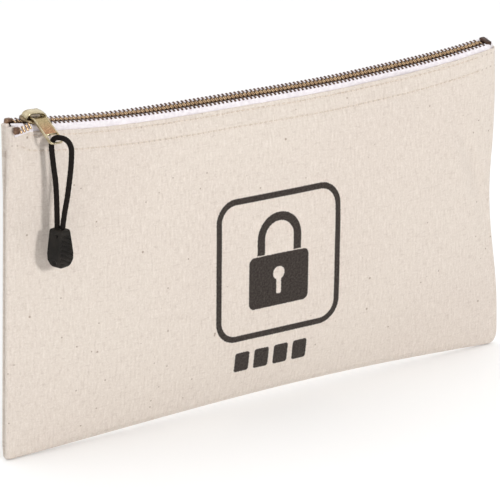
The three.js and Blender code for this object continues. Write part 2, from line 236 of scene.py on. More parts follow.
class Nodes:
    """Builds a node material: each call adds a node and returns its first output."""

    def __init__(self, name):
        self.material = bpy.data.materials.new(name)
        self.material.use_nodes = True
        self.tree = self.material.node_tree
        self.shader = self.tree.nodes["Principled BSDF"]

    def feed(self, socket, value):
        if isinstance(value, bpy.types.NodeSocket):
            self.tree.links.new(value, socket)
        elif value is not None:
            socket.default_value = value

    def set(self, **values):
        for name, value in values.items():
            self.feed(self.shader.inputs[name.replace("_", " ")], value)
        return self

    def math(self, operation, a, b=None, c=None, clamp=False):
        node = self.tree.nodes.new("ShaderNodeMath")
        node.operation = operation
        node.use_clamp = clamp
        for socket, value in zip(node.inputs, (a, b, c)):
            self.feed(socket, value)
        return node.outputs[0]

    def attribute(self, name):
        node = self.tree.nodes.new("ShaderNodeAttribute")
        node.attribute_name = name
        return node.outputs["Vector"]

    def object_place(self):
        return self.tree.nodes.new("ShaderNodeTexCoord").outputs["Object"]

    def split(self, vector):
        node = self.tree.nodes.new("ShaderNodeSeparateXYZ")
        self.feed(node.inputs[0], vector)
        return node.outputs

    def scaled(self, vector, scale):
        node = self.tree.nodes.new("ShaderNodeMapping")
        self.feed(node.inputs["Vector"], vector)
        node.inputs["Scale"].default_value = scale
        return node.outputs[0]

    def noise(self, vector, scale, detail=2.0, roughness=0.5):
        node = self.tree.nodes.new("ShaderNodeTexNoise")
        self.feed(node.inputs["Vector"], vector)
        node.inputs["Scale"].default_value = scale
        node.inputs["Detail"].default_value = detail
        node.inputs["Roughness"].default_value = roughness
        return node.outputs["Fac"]

    def cells(self, vector, scale):
        """Distance to the nearest scattered point, and a random colour for that point."""
        node = self.tree.nodes.new("ShaderNodeTexVoronoi")
        self.feed(node.inputs["Vector"], vector)
        node.inputs["Scale"].default_value = scale
        return node.outputs["Distance"], node.outputs["Color"]

    def mottle(self, shade, a, b):
        """Two colours in soft patches."""
        return self.mix(self.between(shade, 0.35, 0.65), a, b)

    def mix(self, share, a, b):
        node = self.tree.nodes.new("ShaderNodeMix")
        node.data_type = "RGBA"
        self.feed(node.inputs["Factor"], share)
        self.feed(node.inputs[6], a)
        self.feed(node.inputs[7], b)
        return node.outputs[2]

    def between(self, value, low, high, to_low=0.0, to_high=1.0):
        node = self.tree.nodes.new("ShaderNodeMapRange")
        node.interpolation_type = "SMOOTHSTEP"
        for socket, number in zip(node.inputs, (value, low, high, to_low, to_high)):
            self.feed(socket, number)
        return node.outputs[0]

    def bump(self, height, strength, distance):
        node = self.tree.nodes.new("ShaderNodeBump")
        node.inputs["Strength"].default_value = strength
        node.inputs["Distance"].default_value = distance
        self.feed(node.inputs["Height"], height)
        self.feed(self.shader.inputs["Normal"], node.outputs[0])


def colour(red, green, blue):
    return (red, green, blue, 1)


def weave_height(nodes, along, pitch):
    """A plain weave: the height of crossing threads, from the two distances along the cloth in metres."""
    turns = math.pi / (pitch * MM)
    warp = nodes.math("SINE", nodes.math("MULTIPLY", along[0], turns))
    weft = nodes.math("SINE", nodes.math("MULTIPLY", along[2], turns))
    return nodes.math("ADD", nodes.math("ABSOLUTE", warp), nodes.math("ABSOLUTE", weft))


PRINT_CENTRE = (3, 79)
PRINT_INK = colour(0.022, 0.015, 0.012)


def print_mask(nodes, along):
    """A generic print: a padlock in a rounded square, over a row of plain bars."""
    x = nodes.math("SUBTRACT", nodes.math("MULTIPLY", along[0], 1000), PRINT_CENTRE[0])
    z = nodes.math("SUBTRACT", nodes.math("MULTIPLY", along[2], 1000), PRINT_CENTRE[1])

    def block(centre_x, centre_z, half_x, half_z, corner):
        """Distance outside a block with round corners, in millimetres."""
        sides = []
        for value, centre, half in ((x, centre_x, half_x), (z, centre_z, half_z)):
            off = nodes.math("ABSOLUTE", nodes.math("SUBTRACT", value, centre))
            sides.append(nodes.math("SUBTRACT", off, half - corner))
        outside = [nodes.math("MAXIMUM", side, 0) for side in sides]
        length = nodes.math("SQRT", nodes.math("ADD",
            nodes.math("MULTIPLY", outside[0], outside[0]), nodes.math("MULTIPLY", outside[1], outside[1])))
        inside = nodes.math("MINIMUM", nodes.math("MAXIMUM", sides[0], sides[1]), 0)
        return nodes.math("SUBTRACT", nodes.math("ADD", length, inside), corner)

    def stroke(distance, half_width):
        return nodes.math("SUBTRACT", nodes.math("ABSOLUTE", distance), half_width)

    def joined_with(first, second):
        return nodes.math("MINIMUM", first, second)

    def without(first, second):
        return nodes.math("MAXIMUM", first, nodes.math("MULTIPLY", second, -1))

    shape = stroke(block(0, 0, 38, 38, 11), 1.7)
    shackle = without(stroke(block(0, 8, 11.5, 18, 11.4), 2.4), block(0, -14, 30, 20, 1))
    body = block(0, -9, 19, 14.5, 3.5)
    keyhole = joined_with(block(0, -5.5, 3.6, 3.6, 3.5), block(0, -12, 1.5, 5, 1))
    shape = joined_with(shape, joined_with(shackle, without(body, keyhole)))
    for column in range(4):
        shape = joined_with(shape, block(-22 + 12.4 * column, -52, 4.6, 5.6, 1.5))
    ragged = nodes.noise(nodes.attribute("cloth"), 1500, 1)
    edge = nodes.math("ADD", shape, nodes.math("MULTIPLY", nodes.math("SUBTRACT", ragged, 0.5), 0.9))
    return nodes.between(edge, -0.22, 0.22, 1, 0)


def needle_hole_shade(nodes, along):
    """Painted shade where the stitches go down through the canvas. hem is millimetres below the hem's folded
    edge.
    """
    below = nodes.split(nodes.attribute("hem"))[0]
    from_start = nodes.math("SUBTRACT", nodes.math("MULTIPLY", along[0], 1000), STITCH_START)
    count = nodes.math("DIVIDE", from_start, STITCH_PITCH)
    aside = nodes.math("MULTIPLY", nodes.math("SUBTRACT", nodes.math("FRACT", count), 0.5), STITCH_PITCH)
    hole_shade = 0
    for line in STITCH_DROPS:
        off = nodes.math("SUBTRACT", below, line)
        square = nodes.math("ADD", nodes.math("MULTIPLY", off, off), nodes.math("MULTIPLY", aside, aside))
        hole_shade = nodes.math("ADD", hole_shade, nodes.between(nodes.math("SQRT", square), 0.25, 0.7, 1, 0))
    return hole_shade


def canvas_material(name, printed):
    nodes = Nodes(name)
    cloth = nodes.attribute("cloth")
    along = nodes.split(cloth)
    tint = nodes.noise(cloth, 9, 3)
    base = nodes.mottle(tint, colour(0.72, 0.64, 0.565), colour(0.70, 0.615, 0.545))
    slubs = nodes.noise(nodes.scaled(cloth, (800, 1, 190)), 1, 3, 0.6)
    weft_slubs = nodes.noise(nodes.scaled(cloth, (170, 1, 800)), 1, 3, 0.6)
    grain = nodes.noise(cloth, 900, 3, 0.7)
    base = nodes.mix(nodes.between(slubs, 0.5, 0.72, 0, 0.4), base, colour(0.54, 0.45, 0.385))
    base = nodes.mix(nodes.between(slubs, 0.48, 0.28, 0, 0.5), base, colour(0.86, 0.78, 0.71))
    base = nodes.mix(nodes.between(weft_slubs, 0.52, 0.72, 0, 0.4), base, colour(0.55, 0.46, 0.40))
    base = nodes.mix(nodes.between(grain, 0.55, 0.3, 0, 0.5), base, colour(0.85, 0.78, 0.72))
    for scale, share, size in ((110, 0.86, 0.045), (240, 0.9, 0.07)):
        distance, random_colour = nodes.cells(cloth, scale)
        chosen = nodes.math("GREATER_THAN", nodes.split(random_colour)[0], share)
        speck = nodes.math("MULTIPLY", nodes.between(distance, size, size * 2.2, 0.6, 0), chosen)
        base = nodes.mix(speck, base, colour(0.25, 0.16, 0.1))
    # Painted shade where the needle went through, along the stitch lines.
    base = nodes.mix(nodes.math("MULTIPLY", needle_hole_shade(nodes, along), 0.4), base, colour(0.26, 0.17, 0.12))
    if printed:
        ink = nodes.math("MULTIPLY", print_mask(nodes, along), nodes.between(grain, 0.25, 0.8, 1, 0.93))
        base = nodes.mix(ink, base, PRINT_INK)
    height = nodes.math("ADD", weave_height(nodes, along, 0.55), nodes.math("MULTIPLY", slubs, 1.5))
    height = nodes.math("ADD", nodes.math("ADD", height, weft_slubs), grain)
    nodes.bump(height, 0.6, 0.00025)
    nodes.set(Base_Color=base, Roughness=0.92, Specular_IOR_Level=0.15)
    nodes.set(Sheen_Weight=0.08, Sheen_Roughness=0.5)
    return nodes.material


def tape_material():
    nodes = Nodes("zip_tape")
    cloth = nodes.attribute("cloth")
    along = nodes.split(cloth)
    shade = nodes.noise(cloth, 400, 2)
    base = nodes.mix(nodes.between(shade, 0.3, 0.7), colour(0.74, 0.69, 0.72), colour(0.82, 0.78, 0.80))
    nodes.bump(weave_height(nodes, along, 0.4), 0.5, 0.00012)
    nodes.set(Base_Color=base, Roughness=0.85, Sheen_Weight=0.2, Specular_IOR_Level=0.25)
    return nodes.material


def thread_material():
    nodes = Nodes("thread")
    place = nodes.object_place()
    shade = nodes.noise(place, 900, 2)
    base = nodes.mix(nodes.between(shade, 0.3, 0.7), colour(0.56, 0.46, 0.37), colour(0.72, 0.62, 0.53))
    nodes.bump(nodes.noise(nodes.scaled(place, (1, 1, 4)), 2500, 1), 0.6, 0.0001)
    nodes.set(Base_Color=base, Roughness=0.8, Sheen_Weight=0.3, Specular_IOR_Level=0.3)
    return nodes.material


def metal_material(name, light, dark, roughness, scale=350):
    nodes = Nodes(name)
    place = nodes.object_place()
    wear = nodes.noise(place, scale, 3, 0.6)
    base = nodes.mottle(wear, light, dark)
    rough = nodes.between(nodes.noise(place, scale * 4, 2), 0.3, 0.7, roughness * 0.8, roughness * 1.25)
    nodes.bump(nodes.noise(place, scale * 6, 2), 0.15, 0.00005)
    nodes.set(Base_Color=base, Metallic=1.0, Roughness=rough)
    return nodes.material


def tooth_material():
    """Gold on the heads as a painted highlight, and dark on the legs as painted shade. reach is millimetres
    from the chain's middle.
    """
    nodes = Nodes("tooth_brass")
    place = nodes.object_place()
    wear = nodes.noise(place, 700, 3, 0.6)
    # Painted highlight: the heads are a lighter gold. Painted shade: the legs are a dark brown.
    head = nodes.mottle(wear, colour(0.62, 0.44, 0.26), colour(0.34, 0.21, 0.12))
    shaded_leg = nodes.mottle(wear, colour(0.16, 0.095, 0.065), colour(0.07, 0.04, 0.03))
    reach = nodes.split(nodes.attribute("reach"))[0]
    nodes.bump(nodes.noise(place, 2600, 2), 0.2, 0.00005)
    nodes.set(Base_Color=nodes.mix(nodes.between(reach, 0.9, 2.0), head, shaded_leg), Metallic=1.0, Roughness=0.3)
    return nodes.material


def recess_material():
    """Darker knurled brass, redder towards the cord. reach is millimetres from the tab's eye."""
    nodes = Nodes("tab_recess_brass")
    grain = nodes.noise(nodes.object_place(), 1600, 3, 0.6)
    reach = nodes.split(nodes.attribute("reach"))[0]
    light = nodes.mix(nodes.between(reach, 6, 15), colour(0.55, 0.44, 0.25), colour(0.56, 0.34, 0.19))
    dark = nodes.mix(nodes.between(reach, 6, 15), colour(0.33, 0.25, 0.13), colour(0.30, 0.14, 0.08))
    nodes.bump(grain, 0.3, 0.0001)
    nodes.set(Base_Color=nodes.mottle(grain, light, dark), Metallic=1.0, Roughness=0.38)
    return nodes.material


def rubber_material():
    nodes = Nodes("grip_rubber")
    place = nodes.object_place()
    grain = nodes.noise(place, 2200, 3, 0.6)
    shade = nodes.noise(place, 160, 2)
    base = nodes.mottle(shade, colour(0.009, 0.0075, 0.006), colour(0.017, 0.014, 0.011))
    nodes.bump(grain, 0.35, 0.00008)
    rough = nodes.between(grain, 0.3, 0.7, 0.4, 0.6)
    nodes.set(Base_Color=base, Roughness=rough, Specular_IOR_Level=0.15)
    return nodes.material


def cord_material():
    nodes = Nodes("braided_cord")
    place = nodes.object_place()
    shade = nodes.noise(place, 1500, 2)
    base = nodes.mottle(shade, colour(0.006, 0.0045, 0.004), colour(0.014, 0.010, 0.008))
    nodes.bump(shade, 0.5, 0.00008)
    nodes.set(Base_Color=base, Roughness=0.8, Specular_IOR_Level=0.12)
    return nodes.material


printed_canvas = canvas_material("printed_canvas", True)
plain_canvas = canvas_material("plain_canvas", False)
tape_cloth = tape_material()
sewing_thread = thread_material()
brass = metal_material("brass", colour(0.60, 0.52, 0.35), colour(0.42, 0.35, 0.22), 0.22)
body_brass = metal_material("slider_body_brass", colour(0.30, 0.23, 0.14), colour(0.15, 0.11, 0.07), 0.3, 500)
tab_brass = recess_material()
tooth_brass = tooth_material()
stop_brass = metal_material("stop_brass", colour(0.30, 0.19, 0.12), colour(0.14, 0.08, 0.055), 0.34, 420)
stop_metal = metal_material("stop_metal", colour(0.10, 0.06, 0.045), colour(0.055, 0.032, 0.026), 0.42)
rubber = rubber_material()
braid = cord_material()

# --- Camera ---

VIEW_AZIMUTH = math.radians(-34.73)
VIEW_ELEVATION = math.radians(17.86)
VIEW_ROLL = math.radians(0.15)
VIEW_DISTANCE = 1646
VIEW_TARGET = Vector((-8.1, SEAM_Y, 85.2))

camera_data = bpy.data.cameras.new("camera")
camera_data.lens = 223.9
camera_data.sensor_width = 36
camera_data.clip_start = 0.01
camera = bpy.data.objects.new("camera", camera_data)
bpy.context.scene.collection.objects.link(camera)
back = Vector((math.sin(VIEW_AZIMUTH) * math.cos(VIEW_ELEVATION),
               -math.cos(VIEW_AZIMUTH) * math.cos(VIEW_ELEVATION), math.sin(VIEW_ELEVATION)))
camera.location = (VIEW_TARGET + back * VIEW_DISTANCE) * MM
turn = back.to_track_quat("Z", "Y").to_matrix().to_4x4() @ Matrix.Rotation(VIEW_ROLL, 4, "Z")
camera.rotation_euler = turn.to_euler()
bpy.context.scene.camera = camera

# --- Pull: tab, cord loop and grip ---

TAB_LENGTH = 21.2
TAB_WIDTH = 9
TAB_SLOPE = math.radians(23)
TAB_YAW = math.radians(10)
LOOP_YAW = math.radians(25)
CORD_RADIUS = 1.35
CORD_LENGTH = 0.102

slider_frame = (Matrix.Translation(ZIP_PIVOT) @ Matrix.Rotation(-SLIDER_TILT, 4, "Y")
                @ Matrix.Translation((0, 0, -ARC_RADIUS)) @ Matrix.Rotation(SLIDER_ROLL, 4, "X"))
tab_frame = (Matrix.Translation(TAB_PIVOT) @ Matrix.Rotation(-SLIDER_TILT, 4, "Y")
             @ Matrix.Rotation(SLIDER_ROLL, 4, "X") @ Matrix.Rotation(TAB_YAW - math.pi / 2, 4, "Z")
             @ Matrix.Rotation(TAB_SLOPE, 4, "Y"))
bar_centre = tab_frame @ Vector((TAB_LENGTH, 0, 0))

# The cord's route, as (forward in the loop's plane, up) from the middle of the tab's end bar.
CORD_ROUTE = [
    (-0.8, -44.1), (-0.8, -36), (-0.9, -28), (-1.3, -20), (-2.5, -11), (-3.2, -5), (-3.3, -1.2),
    (-2.7, 0.6), (-0.9, 2.4), (2.0, 2.9), (5.0, 2.5), (7.3, 0.8), (8.4, -1.9),
    (8.4, -6), (7.9, -12), (6.9, -19), (5.6, -27), (3.9, -35), (2.3, -44.1),
]


def in_loop(forward, up):
    return bar_centre + Vector((forward * math.sin(LOOP_YAW), -forward * math.cos(LOOP_YAW), up))


def curve_through(points, steps):
    """Catmull-Rom points: steps for each stretch, with the ends held."""
    padded = [points[0] * 2 - points[1]] + points + [points[-1] * 2 - points[-2]]
    route = []
    for a, b, c, d in zip(padded, padded[1:], padded[2:], padded[3:]):
        for k in range(steps):
            u = k / steps
            route.append(0.5 * (2 * b + (c - a) * u + (2 * a - 5 * b + 4 * c - d) * u ** 2
                                + (3 * b - a - 3 * c + d) * u ** 3))
    return route + [points[-1]]


def make_cord():
    route = curve_through([in_loop(*p) for p in CORD_ROUTE], 12)
    strands = 8

    def braided(share, turn):
        climb = share * CORD_LENGTH / MM * 2 * math.pi / 9
        lean = climb * strands / 4
        ridges = math.sin(strands * turn + lean) * math.sin(strands * turn - lean)
        return CORD_RADIUS * (1 + 0.05 * ridges)

    points, faces = tube(route, braided, 32)
    piece = mesh_piece("cord_loop", points, faces, braid)
    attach(piece, "pull")
    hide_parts("pull_cord")


make_cord()

GRIP_YAW = math.radians(14)
GRIP_LEVELS = [(0, 2.7, 3.8, 0.5), (-0.35, 3.0, 4.2, 0.5), (-1.2, 3.2, 4.4, 0.5), (-6.0, 3.9, 4.6, 0.5),
               (-12.5, 4.9, 4.7, 0.5), (-16.0, 4.8, 4.6, 0.6), (-18.4, 3.9, 3.9, 0.8), (-19.3, 3.3, 3.4, 0.9),
               (-19.6, 2.8, 3.0, 0.8)]


def grip_section(depth):
    for (z0, *first), (z1, *second) in zip(GRIP_LEVELS, GRIP_LEVELS[1:]):
        if depth >= z1:
            share = (z0 - depth) / (z0 - z1)
            return [lerp(a, b, share) for a, b in zip(first, second)]
    return GRIP_LEVELS[-1][1:]


def make_grip():
    """A moulded block: smooth on its left, ribbed across its front, with a sprue hole and a dimple."""
    across, along = 160, 110
    points = []
    for j in range(along):
        z = GRIP_LEVELS[-1][0] * j / (along - 1)
        half_x, half_y, corner = grip_section(z)
        for i in range(across):
            turn = 2 * math.pi * (i + 0.5) / across
            x, y = math.cos(turn), math.sin(turn)
            reach = max(abs(x) / half_x, abs(y) / half_y)
            x, y = x / reach, y / reach
            over_x, over_y = abs(x) - (half_x - corner), abs(y) - (half_y - corner)
            if over_x > 0 and over_y > 0:
                pull = corner / math.hypot(over_x, over_y)
                x = math.copysign(half_x - corner + over_x * pull, x)
                y = math.copysign(half_y - corner + over_y * pull, y)
            sink_x = sink_y = 0
            if y < -(half_y - 0.3) or y > half_y - 0.3:
                inside = smooth((half_x - abs(x)) / 1.2) * smooth((-z - 2.2) / 0.8) * smooth((18 + z) / 1.2)
                rib = 0.5 - 0.5 * math.cos(2 * math.pi * (z + 0.55 * x) / 2.5)
                sink_y = 0.7 * inside * smooth(rib * 1.6 - 0.3)
            if x < -(half_x - 0.3):
                sink_x = 0.9 * smooth(1.6 - math.hypot(y + 1.1, z + 3.2) / 0.65)
                sink_x += 0.55 * smooth(1.7 - math.hypot(y + 0.2, z + 16.6) / 1.1)
                panel = smooth((-z - 2) / 0.5) * smooth((15 + z) / 0.6)
                sink_x += 0.12 * smooth((half_y - abs(y)) / 0.6 - 0.8) * panel
            points.append(Vector((x + math.copysign(sink_x, -x), y + math.copysign(sink_y, -y), z)))
    faces = grid_faces(across, along, flip=True, wrap=True)
    faces.append(tuple(range(across)))
    faces.append(tuple(range((along - 1) * across, along * across))[::-1])
    top = Vector(((grip_low.x + grip_high.x) / 2, (grip_low.y + grip_high.y) / 2, grip_high.z))
    matrix = Matrix.Translation(top) @ Matrix.Rotation(GRIP_YAW, 4, "Z")
    points, faces = placed((points, faces), matrix)
    piece = mesh_piece("moulded_grip", points, faces, rubber)
    piece.data.polygons[-1].use_smooth = False
    piece.data.polygons[-2].use_smooth = False
    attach(piece, "pull")
    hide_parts("cord_grip")


make_grip()

TAB_BAR = 0.5  # radius of the tab's raised rim
TAB_EYE_BACK = -2.5  # the rim's cross bar behind the bail
TAB_HOLE = 15.4  # where the recess ends and the cord's hole starts


def tab_rise(u):
    """The tab dips under the bail."""
    return -1.5 * (1 - smooth((u - 1.2) / 4.2))


def make_tab():
    half = TAB_WIDTH / 2 - TAB_BAR
    corner = 1.6
    outline = []
    far_u = TAB_LENGTH - corner
    near_u = TAB_EYE_BACK + 1
    for centre, start in (((far_u, half - corner), 0), ((near_u, half - 1), 90),
                          ((near_u, 1 - half), 180), ((far_u, corner - half), 270)):
        radius = corner if centre[0] > 0 else 1
        for k in range(7):
            turn = math.radians(start + 15 * k)
            outline.append(Vector((*centre, 0)) + radius * Vector((math.cos(turn), math.sin(turn), 0)))
    closed = []
    for a, b in zip(outline, outline[1:] + outline[:1]):
        steps = max(1, round((b - a).length / 0.8))
        closed.extend(a.lerp(b, k / steps) for k in range(steps))
    sides = 14
    points = []
    count = len(closed)
    for j, centre in enumerate(closed):
        ahead = (closed[(j + 1) % count] - closed[j - 1]).normalized()
        outward = Vector((ahead.y, -ahead.x, 0))
        lift = tab_rise(centre.x)
        for i in range(sides):
            turn = 2 * math.pi * i / sides
            points.append(centre + outward * TAB_BAR * math.cos(turn)
                          + Vector((0, 0, lift + 0.75 * math.sin(turn))))
    faces = grid_faces(sides, count, wrap=True)
    last = (count - 1) * sides
    faces += [(last + i, last + (i + 1) % sides, (i + 1) % sides, i) for i in range(sides)]
    frame_shape = (points, [face[::-1] for face in faces])

    rows = 60
    across = 15
    web = []
    for layer in (1, -1):
        for j in range(rows):
            u = lerp(3.4, TAB_HOLE, j / (rows - 1))
            for i in range(across):
                v = lerp(-half - 0.1, half + 0.1, i / (across - 1))
                edge = smooth((half - abs(v)) / 0.7)
                knurl = 0.05 * math.sin(u * 5.2) * math.sin(v * 5.2) * edge
                web.append(Vector((u, v, tab_rise(u) + layer * (0.32 + 0.12 * (1 - edge)) + knurl)))
    web_faces = slab_faces(across, rows, flip=True)
    bar = tube([Vector((TAB_HOLE, v, tab_rise(TAB_HOLE))) for v in (-half, 0, half)], 0.5, 10)
    for name, shape, material in (("tab_frame", joined([frame_shape, bar]), brass),
                                  ("tab_recess", (web, web_faces), tab_brass)):
        points, faces = placed(shape, tab_frame)
        piece = mesh_piece(name, points, faces, material, ("reach", [(p.x, 0, 0) for p in shape[0]]))
        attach(piece, "tab")
        if name == "tab_frame":
            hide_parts("pull_tab")


make_tab()

# --- Slider ---

SLIDER_HALF_LENGTH = 7.6
WING_LOW = 1.35
WING_HIGH = 2.35


def wing_half_width(along):
    """Half width of a wing, wide at the nose and narrow at the tail. along runs -1 to 1."""
    body = lerp(4.7, 3.5, smooth((along + 0.5) / 1.5))
    round_off = math.sqrt(max(0, 1 - abs(along) ** 5))
    return body * round_off


def wing_shape(top):
    """A plate with a domed outer face and rounded rim. top is 1 for the upper wing and -1 for the lower."""
    rows, across = 41, 21
    points = []
    for layer in (0, 1):
        for j in range(rows):
            along = math.sin(math.pi / 2 * lerp(-1, 1, j / (rows - 1)))
            half = max(wing_half_width(along), 0.02)
            for i in range(across):
                q = math.sin(math.pi / 2 * lerp(-1, 1, i / (across - 1)))
                rim = math.sqrt(max(0, 1 - max(abs(q), abs(along)) ** 8))
                inner = 0.25 * (1 - rim)
                dome = 0.15 * (1 - q * q) * (1 - along * along)
                outer = 0.3 + (WING_HIGH - WING_LOW - 0.2) * rim + dome
                height = WING_LOW + (outer if layer else inner)
                points.append(Vector((along * SLIDER_HALF_LENGTH, q * half, top * height)))
    return points, slab_faces(across, rows, flip=top < 0)


def block_shape(x0, x1, y0, y1, z0, z1):
    points = [(x, y, z) for x in (x0, x1) for y in (y0, y1) for z in (z0, z1)]
    faces = [(0, 1, 3, 2), (4, 6, 7, 5), (0, 4, 5, 1), (2, 3, 7, 6), (0, 2, 6, 4), (1, 5, 7, 3)]
    return [Vector(p) for p in points], faces


def make_slider():
    shapes = [wing_shape(1), wing_shape(-1)]
    post = [Vector((-6.2, 0, z)) for z in (-WING_LOW - 0.4, 0, WING_LOW + 0.4)]
    shapes.append(tube(post, 0.75, 14))
    for side in (-1, 1):
        for up in (-1, 1):
            y0, y1 = sorted((side * 3.45, side * 4.45))
            z0, z1 = sorted((up * 0.65, up * (WING_LOW + 0.35)))
            shapes.append(block_shape(-4.6, 3.4, y0, y1, z0, z1))
    points, faces = placed(joined(shapes), slider_frame)
    piece = mesh_piece("slider", points, faces, body_brass)
    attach(piece, "slider")
    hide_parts("slider_body")

    foot, crown, half_width, thickness = 6.0, 6.0, 2.6, 0.8
    rows, across = 48, 13
    strap = []
    for layer in (0, 1):
        for j in range(rows + 1):
            turn = math.pi * j / rows
            x = -foot * math.copysign(abs(math.cos(turn)) ** 0.72, math.cos(turn))
            z = 2.0 + (crown - 2.0) * math.sin(turn) ** 0.62
            for i in range(across):
                q = lerp(-1, 1, i / (across - 1))
                crowned = 0.28 * q * q
                side = half_width * (1 - 0.12 * layer) * q
                centre = Vector((x - math.copysign(layer * thickness * abs(x) / foot, x), side,
                                 z - crowned - layer * thickness * (1 - 0.3 * abs(x) / foot)))
                strap.append(centre)
    points, faces = placed((strap, slab_faces(across, rows + 1, flip=True)), slider_frame)
    piece = mesh_piece("bail_strap", points, faces, brass)
    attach(piece, "slider")
    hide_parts("slider_bail")


make_slider()

# --- Zip chain: the height, roll and side of a point beside the zip's centreline ---


# How far the cloth zip strays above its arc, at places along the bag
ZIP_STRAY = [(-156, -0.2), (-105, -0.6), (-15, 0.8), (60, 0.0), (125, -0.9), (156, -0.5)]


def zip_height(x):
    stray = 0
    for (x0, stray0), (x1, stray1) in zip(ZIP_STRAY, ZIP_STRAY[1:]):
        if x0 <= x <= x1:
            stray = lerp(stray0, stray1, smooth((x - x0) / (x1 - x0)))
    return ZIP_PIVOT.z - math.sqrt(ARC_RADIUS ** 2 - x ** 2) + stray


def hem_drop(x):
    """The hem's folded edge below the zip's centreline. At the slider's end it closes over the tape."""
    return lerp(1.0, HEM_DROP, smooth((x + TOP_HALF - 2) / 9))


def chain_roll(x):
    """The chain leans forward, most of all in the middle of the bag."""
    middle = lerp(SLIDER_ROLL, math.radians(22), smooth((x + 118) / 80))
    return lerp(middle, math.radians(14), smooth((x - 100) / 40))


def beside_chain(x, across, up):
    roll = chain_roll(x)
    y = across * math.cos(roll) - up * math.sin(roll)
    z = across * math.sin(roll) + up * math.cos(roll)
    return Vector((x, SEAM_Y + y, zip_height(x) + z))


def tape_profile(side, x):
    """(outward, down) points of the tape's outer face, from under the teeth to its lower edge."""
    angle = -side * chain_roll(x)
    level = CHAIN_HALF + 0.1
    out, down = 2.2 * math.cos(angle), 2.2 * math.sin(angle) - TAPE / 2
    points = [(out, down)]
    for _ in range(3):
        out += (level - 2.2) / 3 * math.cos(angle)
        down += (level - 2.2) / 3 * math.sin(angle)
        points.append((out, down))
    steps = 8
    step = (math.pi / 2 - angle) / steps
    for _ in range(steps):
        angle += step / 2
        out += TAPE_TURN * step * math.cos(angle)
        down += TAPE_TURN * step * math.sin(angle)
        angle += step / 2
        points.append((out, down))
    lower_edge = zip_depth(x)
    top = down
    for k in range(1, 7):
        points.append((out, lerp(top, lower_edge, k / 6)))
    drawn_in = lerp(0.6, 1, min(smooth((x - TAPE_START) / 7), smooth((TAPE_END - x) / 5)))
    return [(out * drawn_in, down) for out, down in points]


def zip_depth(x):
    return lerp(6, 14, smooth(min(x - TAPE_START, TAPE_END - x) / 10))


def lip_depth(side, x):
    """How far the canvas hem's outer face stands from the seam plane."""
    return max(point[0] for point in tape_profile(side, x)) + 2 * HEM_FOLD + 0.1


# --- Canvas ---


def half_width(t):
    return lerp(BOTTOM_HALF, TOP_HALF, t)


def dent(t):
    return 0.5 - 0.5 * math.cos(2 * math.pi * min(max((t - 0.12) / 0.8, 0), 1))


def bottom_height(s):
    return BOTTOM_ARCH * math.sin(math.pi * s ** 1.25)


def roll_radius(t):
    return lerp(EDGE_ROLL, EDGE_ROLL_TOP, smooth((t - 0.75) / 0.25))


def ripple(x, z, side):
    """Unevenness of the cloth: slow swells, puckers under the hem, and the folds at the sides."""
    swell = 0.9 * noise.noise(Vector((x / 62, side * 9.1, z / 46)))
    swell += 0.35 * noise.noise(Vector((x / 19, side * 4.7, z / 30)))
    below_hem = zip_height(x) - hem_drop(x) - z
    wander = 2.2 * noise.noise(Vector((x / 25, side, 3)))
    pucker = 0.22 * math.sin(x / 2.7 + wander) * math.exp(-(below_hem / 13) ** 2)
    fold = 0
    if side < 0:
        crease = (x - 141) * 0.9 + (z - 102) * 0.42
        fold -= 2.0 * math.exp(-(crease / 4.5) ** 2) * math.exp(-((z - 106) / 26) ** 2)
        ridge = (x - 132) * 0.9 + (z - 100) * 0.42
        fold += 1.1 * math.exp(-(ridge / 7) ** 2) * math.exp(-((z - 106) / 30) ** 2)
        fold -= 1.3 * math.exp(-((x + 145) / 5) ** 2) * smooth((z - 50) / 60)
    return swell + pucker + fold


def groove(drop):
    """The canvas dips along each line of stitches."""
    return sum(0.32 * math.exp(-((drop - line) / 0.9) ** 2) for line in STITCH_DROPS)


def body_depth(side, s, t, x, z):
    bulge = FRONT_BULGE if side < 0 else BACK_BULGE
    lengthwise = 1 - abs(2 * s - 1) ** 4
    upward = 1 - abs(2 * t - 1) ** 3
    edge = 2 * roll_radius(t)
    lip = lerp(edge, lip_depth(side, x), smooth(min(s, 1 - s) / 0.03))
    mouth = lerp(edge, lip, smooth((t - 0.76) / 0.24))
    free = smooth(min(s, 1 - s) / 0.03) * smooth(min(t, 1.15 - t) / 0.06)
    return mouth + bulge * lengthwise * upward + ripple(x, z, side) * free


ROLL_STEPS = 9
MAIN_COLUMNS = 170
ROLL_ROWS = 7
LOWER_ROWS = 62
UPPER_ROWS = 34
FOLD_ROWS = 7
RETURN_ROWS = 6


def columns():
    """(s, turn of the left edge's roll, turn of the right edge's roll), with None where flat."""
    turns = [math.radians(lerp(-80, 90, k / (ROLL_STEPS - 1))) for k in range(ROLL_STEPS)]
    left = [(0, turn, -1) for turn in turns]
    middle = [(k / MAIN_COLUMNS, None, 0) for k in range(1, MAIN_COLUMNS)]
    right = [(1, turn, 1) for turn in reversed(turns)]
    return left + middle + right


